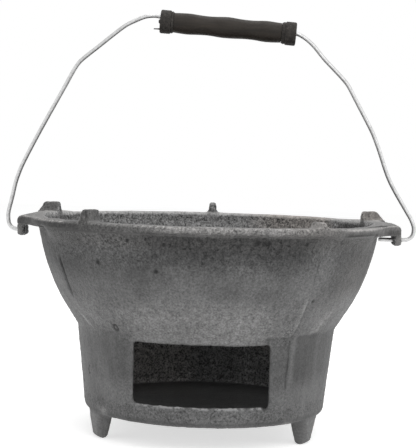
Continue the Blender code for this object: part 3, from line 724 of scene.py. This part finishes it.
def through(points, step):
    """Even points along a smooth line that passes through the given ones."""
    knots = [Vector(point) for point in points]
    knots = [2 * knots[0] - knots[1]] + knots + [2 * knots[-1] - knots[-2]]
    line = []
    for before, start, end, after in zip(knots, knots[1:], knots[2:], knots[3:]):
        span = (end - start).length
        leave = (end - before) * min(1, span / max((start - before).length, span)) / 2
        arrive = (after - start) * min(1, span / max((after - end).length, span)) / 2
        count = max(1, round(span / step))
        for index in range(count):
            t = index / count
            line.append((2 * t ** 3 - 3 * t * t + 1) * start + (t ** 3 - 2 * t * t + t) * leave
                        + (3 * t * t - 2 * t ** 3) * end + (t ** 3 - t * t) * arrive)
    line.append(knots[-2])
    return line


def rings_mesh(name, rings, closed_ends=True):
    """Skin over a row of rings of equal length, with its ends closed or the last ring joined to the first."""
    sides = len(rings[0])
    last = (len(rings) - 1) * sides
    points = [tuple(point) for ring in rings for point in ring]
    faces = []
    for start in range(0, last, sides):
        for side in range(sides):
            turn = (side + 1) % sides
            faces.append((start + side, start + turn, start + sides + turn, start + sides + side))
    if closed_ends:
        faces.append(tuple(reversed(range(sides))))
        faces.append(tuple(range(last, last + sides)))
    else:
        for side in range(sides):
            turn = (side + 1) % sides
            faces.append((last + side, last + turn, turn, side))
    mesh = bpy.data.meshes.new(name)
    mesh.from_pydata(points, [], faces)
    mesh.validate()
    piece = bpy.data.objects.new(name, mesh)
    bpy.context.scene.collection.objects.link(piece)
    mesh.shade_smooth()
    mesh.set_sharp_from_angle(angle=math.radians(40))
    return piece


def wire_ring(point, ahead, radius):
    """Ring round a point of the wire, square to the way ahead and kept inside the object's box."""
    across = Vector((-ahead.y, ahead.x)).normalized()
    ring = []
    for side in range(WIRE_SIDES):
        turn = 2 * math.pi * side / WIRE_SIDES
        out = across * math.cos(turn) * radius
        held = min(max(point.x + out.x, cad_box[0][0]), cad_box[1][0])
        ring.append((held, math.sin(turn) * radius, point.y + out.y))
    return ring


def galvanised():
    """Zinc-coated wire: pale, satin, with a faint spangle, a few duller scuffs and painted shade along its
    inner side.
    """
    material, tree, shader = new_material("galvanised_wire")
    place = put(tree, "TexCoord").outputs["Object"]
    spangle = mottling(tree, place, 420, 3)
    scuffs = mottling(tree, place, 70, 4, 0.7)
    colour = blend_colours(tree, spread(tree, spangle, 0.35, 0.65), grey(184), grey(202))
    colour = blend_colours(tree, spread(tree, scuffs, 0.60, 0.75, 0.0, 0.5), colour, grey(120, 0.01))
    colour = blend_colours(tree, attribute(tree, "inner_side_shade"), colour, grey(84, 0.01))
    tree.links.new(colour, shader.inputs["Base Color"])
    tree.links.new(spread(tree, scuffs, 0.3, 0.7, 0.36, 0.52), shader.inputs["Roughness"])
    shader.inputs["Metallic"].default_value = 0.85
    add_bump(tree, shader, spangle, 0.08, 0.0002)
    return material


grip_run = [(GRIP_LEFT, on_grip(GRIP_LEFT)[1] + WIRE_ABOVE_LEFT_END),
            on_grip(GRIP_LEFT + WIRE_CENTRED_AFTER),
            on_grip((GRIP_LEFT + GRIP_RIGHT) / 2),
            on_grip(GRIP_RIGHT - WIRE_CENTRED_AFTER),
            (GRIP_RIGHT, on_grip(GRIP_RIGHT)[1] + WIRE_ABOVE_RIGHT_END)]
centre_line = through(list(WIRE_LEFT) + grip_run + list(WIRE_RIGHT), WIRE_STEP)
wire_end = len(centre_line) - 1
wire_rings = []
for index, point in enumerate(centre_line):
    ahead = centre_line[min(index + 1, wire_end)] - centre_line[max(index - 1, 0)]
    radius = WIRE_RADIUS * (WIRE_END_SHARE if index in (0, wire_end) else 1.0)
    wire_rings.append(wire_ring(point, ahead, radius))
bail = rings_mesh("bail_wire_drawn", wire_rings)
inward = -np.cos(2 * np.pi * np.arange(WIRE_SIDES) / WIRE_SIDES)
# Painted shade along the wire's inner side
paint_mask(bail, "inner_side_shade", np.tile(fade(inward, -0.10, 0.55) * INNER_SIDE_SHADE_SHARE, len(wire_rings)))
bail.data.materials.append(galvanised())
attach(bail, "bail")
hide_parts("bail_wire")

# The grip is a dark moulded sleeve, swelling and narrowing for the fingers, that turns freely on the wire.
# A ring pushed over each end closes it.

SLEEVE_RADIUS = 0.00832
SLEEVE_WAVE = 0.00042
SLEEVE_PITCH = 0.0335
SLEEVE_CREST = 0.0115
SLEEVE_STEPS = 96
SLEEVE_BORE = 0.0028
SLEEVE_EDGE = 0.0004
SLEEVE_GAP = 0.0001
SLEEVE_UNEVEN = 0.00025
SPIGOT_RADIUS = 0.0057
SPIGOT_LENGTH = 0.0030
COLLAR_LENGTHS = (0.0112, 0.0122)
GRIP_SIDES = 72
# How close together the uneven skin's swells lie, along the grip and round it
SWELLS_ALONG = 90
SWELLS_ROUND = 1.3


def turned_on_grip(name, profile, wobble):
    """Piece turned on the grip's axis from (radius, place along it) points, with a slightly uneven skin."""
    lean = Matrix.Rotation(math.pi / 2 - math.atan(GRIP_TILT), 3, "Y")
    start = Vector((0, 0, GRIP_HEIGHT))
    stretch = math.sqrt(1 + GRIP_TILT ** 2)
    rings = []
    for radius, along in profile:
        ring = []
        for side in range(GRIP_SIDES):
            turn = 2 * math.pi * side / GRIP_SIDES
            across = math.cos(turn)
            up = math.sin(turn)
            swell = noise.noise(Vector((along * SWELLS_ALONG, across * SWELLS_ROUND, up * SWELLS_ROUND)))
            uneven = radius + wobble * swell
            place = Vector((uneven * across, uneven * up, along * stretch))
            ring.append(lean @ place + start)
        rings.append(ring)
    return rings_mesh(name, rings, closed_ends=False)


def moulded(name, dark, light, gloss, rib_scale, relief):
    """Dark moulded grip stock: fine lengthwise flow in darker and paler streaks, flecked with pale dust."""
    material, tree, shader = new_material(name)
    place = put(tree, "TexCoord").outputs["Object"]
    streaks = mottling(tree, stretched(tree, place, rib_scale), 300, 4, 0.65)
    dust = mottling(tree, place, 160, 5, 0.7)
    colour = blend_colours(tree, spread(tree, streaks, 0.35, 0.68), dark, light)
    colour = blend_colours(tree, spread(tree, dust, 0.55, 0.75, 0.0, 0.25), colour, grey(72, 0.03))
    tree.links.new(colour, shader.inputs["Base Color"])
    tree.links.new(spread(tree, dust, 0.3, 0.7, gloss, gloss + 0.18), shader.inputs["Roughness"])
    shader.inputs["Specular IOR Level"].default_value = 0.25
    add_bump(tree, shader, streaks, 0.6, relief)
    return material


sleeve_start = GRIP_LEFT + COLLAR_LENGTHS[0] + SLEEVE_GAP
sleeve_end = GRIP_RIGHT - COLLAR_LENGTHS[1] - SLEEVE_GAP
profile = [(SLEEVE_BORE, sleeve_start - SPIGOT_LENGTH), (SPIGOT_RADIUS, sleeve_start - SPIGOT_LENGTH),
           (SPIGOT_RADIUS, sleeve_start), (SLEEVE_RADIUS - SLEEVE_EDGE, sleeve_start)]
for step in range(SLEEVE_STEPS + 1):
    along = sleeve_start + (sleeve_end - sleeve_start) * step / SLEEVE_STEPS
    wave = SLEEVE_WAVE * math.cos(2 * math.pi * (along - SLEEVE_CREST) / SLEEVE_PITCH)
    profile.append((SLEEVE_RADIUS + wave, along))
profile += [(SLEEVE_RADIUS - SLEEVE_EDGE, sleeve_end), (SPIGOT_RADIUS, sleeve_end),
            (SPIGOT_RADIUS, sleeve_end + SPIGOT_LENGTH), (SLEEVE_BORE, sleeve_end + SPIGOT_LENGTH)]
sleeve = turned_on_grip("grip_sleeve_moulding", profile, SLEEVE_UNEVEN)
sleeve_stock = moulded("sleeve_stock", grey(28, 0.13), grey(43, 0.13), 0.50, (0.12, 1, 1), 0.0003)
sleeve.data.materials.append(sleeve_stock)
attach(sleeve, "grip")
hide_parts("grip_sleeve")

# Each end ring is a short moulded collar with a rough band that stops the hand, and a narrow neck and groove
# where it meets the sleeve. It is pushed over the sleeve's end, and the left one kept two small burrs of its
# moulding.

# The collars as (name, outer end, length, the neck's length, way towards the sleeve)
COLLARS = (("grip_collar_left", GRIP_LEFT, COLLAR_LENGTHS[0], 0.0026, 1),
           ("grip_collar_right", GRIP_RIGHT, COLLAR_LENGTHS[1], 0.0036, -1))
COLLAR_RADIUS = 0.0098
COLLAR_BORE = 0.0060
COLLAR_UNEVEN = 0.00035
# The rounded lip at a collar's outer end, as (how far below the full radius, place from the end)
LIP_LENGTH = 0.0012
COLLAR_LIP = ((0.0010, 0.0), (0.0003, 0.0004), (0.0, LIP_LENGTH))
# The band's turned steps, from the lip to just before the neck
BAND_STEPS = 8
STEP_DEPTH = 0.00012
BAND_MARGIN = 0.0008
# Neck and groove beside the sleeve, as (share of the neck's length, how far below the full radius)
COLLAR_NECK = ((0, 0.0003), (0.12, 0.0009), (0.25, 0.0009), (0.36, 0.0006), (0.60, 0.0008), (0.95, 0.0014))
BURR_SIDES = 10
# The two burrs on the left collar's end: each one's place as (to the rear, below the grip's axis), and its
# stations as (way out, radius)
SPUR_PLACE = (-0.0046, 0.0068)
SPUR_STATIONS = ((-0.0012, 0.00088), (0.0006, 0.000715), (0.00208, 0.00055), (0.0052, 0.00044))
NUB_PLACE = (-0.0078, 0.0010)
NUB_STATIONS = ((-0.0010, 0.0019), (0.0002, 0.0019), (0.0008, 0.0015), (0.0011, 0.0008))


def collar_profile(length, neck):
    """A collar's outline from its outer end to the sleeve, as (radius, place from the end)."""
    band = length - neck
    step_run = (band - BAND_MARGIN - LIP_LENGTH) / BAND_STEPS
    outline = [(COLLAR_BORE, 0)]
    outline += [(COLLAR_RADIUS - lower, along) for lower, along in COLLAR_LIP]
    for step in range(1, BAND_STEPS + 1):
        outline.append((COLLAR_RADIUS - STEP_DEPTH * (step % 2), LIP_LENGTH + step_run * step))
    outline += [(COLLAR_RADIUS - lower, band + neck * share) for share, lower in COLLAR_NECK]
    outline.append((COLLAR_BORE, length))
    return outline


def burr(name, place, stations):
    """Small stray tail of moulding that stands out from the left collar's end."""
    forth = place[0]
    height = on_grip(GRIP_LEFT)[1] - place[1]
    rings = []
    for out, radius in stations:
        ring = []
        for side in range(BURR_SIDES):
            turn = 2 * math.pi * side / BURR_SIDES
            ring.append((GRIP_LEFT - out, forth + radius * math.cos(turn), height + radius * math.sin(turn)))
        rings.append(ring)
    return rings_mesh(name, rings)


collar_stock = moulded("collar_stock", grey(30, 0.06), grey(62, 0.06), 0.60, (1.3, 1.3, 1.3), 0.0012)
for name, end, length, neck, way in COLLARS:
    profile = [(radius, end + way * along) for radius, along in collar_profile(length, neck)]
    collar = turned_on_grip(name + "_moulding", profile, COLLAR_UNEVEN)
    collar.data.materials.append(collar_stock)
    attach(collar, "grip")
    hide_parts(name)

for tail in (burr("collar_spur", SPUR_PLACE, SPUR_STATIONS), burr("collar_nub", NUB_PLACE, NUB_STATIONS)):
    tail.data.materials.append(collar_stock)
    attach(tail, "grip")

# The studio: a pale floor under a white room, a large soft lamp high in front, one above and a weaker one on
# each side, as for a catalogue picture.

FLOOR_REACH = 6
FLOOR_GREY = 0.80
FLOOR_GLOW = 0.62
ROOM_LIGHT = 0.45
STOVE_MIDDLE = (0, 0, 0.14)
# Soft lamps as (name, place, width, power)
LAMPS = (("lamp_front", (0.5, -1.7, 1.6), 1.4, 17), ("lamp_left", (-1.9, -0.8, 0.9), 1.2, 5),
         ("lamp_right", (1.9, -0.6, 0.9), 1.2, 7), ("lamp_top", (0.0, 0.4, 2.2), 1.6, 16))


def sees_white(tree):
    """1 for the rays that see a white room: the camera's, and those off gloss and through glass."""
    rays = put(tree, "LightPath")
    seen = combined(tree, "MAXIMUM", rays.outputs["Is Camera Ray"], rays.outputs["Is Glossy Ray"])
    return combined(tree, "MAXIMUM", seen, rays.outputs["Is Transmission Ray"])


def pale_floor():
    """Flat floor that looks white to the camera and keeps the object's shadow."""
    mesh = bpy.data.meshes.new("floor")
    corners = [(-1, -1, 0), (1, -1, 0), (1, 1, 0), (-1, 1, 0)]
    mesh.from_pydata([Vector(corner) * FLOOR_REACH for corner in corners], [], [(0, 1, 2, 3)])
    piece = bpy.data.objects.new("floor", mesh)
    bpy.context.scene.collection.objects.link(piece)
    material, tree, shader = new_material("floor")
    shader.inputs["Base Color"].default_value = (FLOOR_GREY, FLOOR_GREY, FLOOR_GREY, 1)
    shader.inputs["Roughness"].default_value = 0.9
    shader.inputs["Specular IOR Level"].default_value = 0.0
    glow = put(tree, "Emission", {"Color": (1, 1, 1, 1), "Strength": FLOOR_GLOW})
    both = put(tree, "AddShader", {0: shader.outputs[0], 1: glow.outputs[0]})
    choice = put(tree, "MixShader", {0: sees_white(tree), 1: shader.outputs[0], 2: both.outputs[0]})
    tree.links.new(choice.outputs[0], tree.nodes["Material Output"].inputs["Surface"])
    piece.data.materials.append(material)


def white_room():
    """World that lights the object evenly and shows white behind it."""
    world = bpy.data.worlds.new("studio")
    world.use_nodes = True
    bpy.context.scene.world = world
    tree = world.node_tree
    room = tree.nodes["Background"]
    room.inputs["Color"].default_value = (1, 1, 1, 1)
    room.inputs["Strength"].default_value = ROOM_LIGHT
    white = put(tree, "Background", {"Color": (1, 1, 1, 1), "Strength": 1.0})
    choice = put(tree, "MixShader", {0: sees_white(tree), 1: room.outputs[0], 2: white.outputs[0]})
    tree.links.new(choice.outputs[0], tree.nodes["World Output"].inputs["Surface"])


def soft_lamp(name, place, width, power):
    """Square soft lamp aimed at the middle of the stove."""
    light = bpy.data.lights.new(name, "AREA")
    light.shape = "SQUARE"
    light.size = width
    light.energy = power
    lamp = bpy.data.objects.new(name, light)
    bpy.context.scene.collection.objects.link(lamp)
    lamp.location = place
    aim = Vector(STOVE_MIDDLE) - Vector(place)
    lamp.rotation_euler = aim.to_track_quat("-Z", "Y").to_euler()


pale_floor()
white_room()
for lamp in LAMPS:
    soft_lamp(*lamp)

# The camera stands about a metre in front of the stove and a little above its rim. It looks slightly down and
# leans a little to one side, as a camera held by hand does.

FOCAL_PIXELS = 1273.3
FRAME_HEIGHT = 448
SENSOR_HEIGHT = 36
CAMERA_PLACE = (0.0256, -1.069, 0.220)
CAMERA_YAW = math.atan2(0.0245, 0.9997)
CAMERA_PITCH = math.radians(2.44)
CAMERA_ROLL = math.radians(1.58)

camera_data = bpy.data.cameras.new("camera")
camera_data.sensor_fit = "VERTICAL"
camera_data.sensor_height = SENSOR_HEIGHT
camera_data.lens = FOCAL_PIXELS / FRAME_HEIGHT * SENSOR_HEIGHT
camera = bpy.data.objects.new("camera", camera_data)
bpy.context.scene.collection.objects.link(camera)
turned_left = Matrix.Rotation(CAMERA_YAW, 4, "Z")
tipped_down = Matrix.Rotation(math.pi / 2 - CAMERA_PITCH, 4, "X")
leaning = Matrix.Rotation(CAMERA_ROLL, 4, "Z")
camera.matrix_world = Matrix.Translation(CAMERA_PLACE) @ turned_left @ tipped_down @ leaning
bpy.context.scene.camera = camera
bpy.context.scene.view_settings.view_transform = "Standard"
